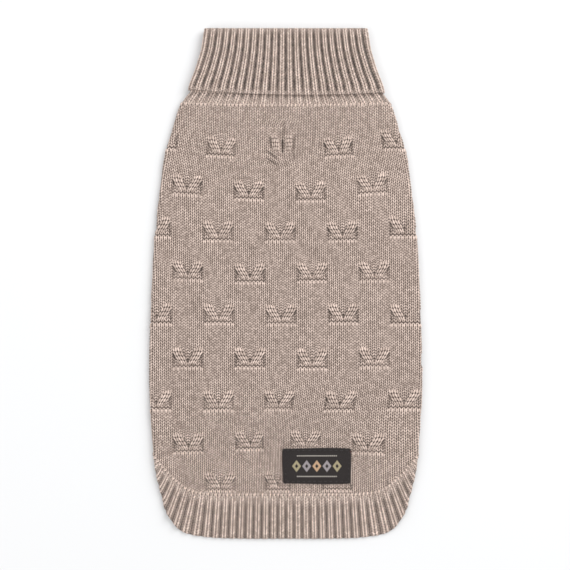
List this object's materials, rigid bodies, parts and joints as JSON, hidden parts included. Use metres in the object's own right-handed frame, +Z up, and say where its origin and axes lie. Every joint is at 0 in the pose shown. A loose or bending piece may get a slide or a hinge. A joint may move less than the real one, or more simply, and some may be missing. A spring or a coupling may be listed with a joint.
{
  "type": "dog sweater",
  "caption": "Knitted dog sweater with small cables, ribbed hems and leg holes and a turned-down ribbed roll collar, laid out flat.",
  "frame": {"origin": "on the surface the garment lies on, at the middle of its outline", "axes": "+Y along the back from the hem to the collar, +X across the back, +Z up from the surface through the cloth"},
  "size_m": [0.2188, 0.4091, 0.0105],
  "materials": {
    "knit": "matte heathered yarn",
    "rib": "matte heathered yarn, knitted in ribs",
    "label_weave": "dense satin-woven polyester"
  },
  "bodies": {
    "root": {"back_panel": "knit", "belly_panel": "knit", "hem_band": "rib", "belly_hem": "rib", "leg_cuff_right": "rib", "leg_cuff_left": "rib", "collar": "rib", "label": "label_weave"}
  },
  "joints": []
}
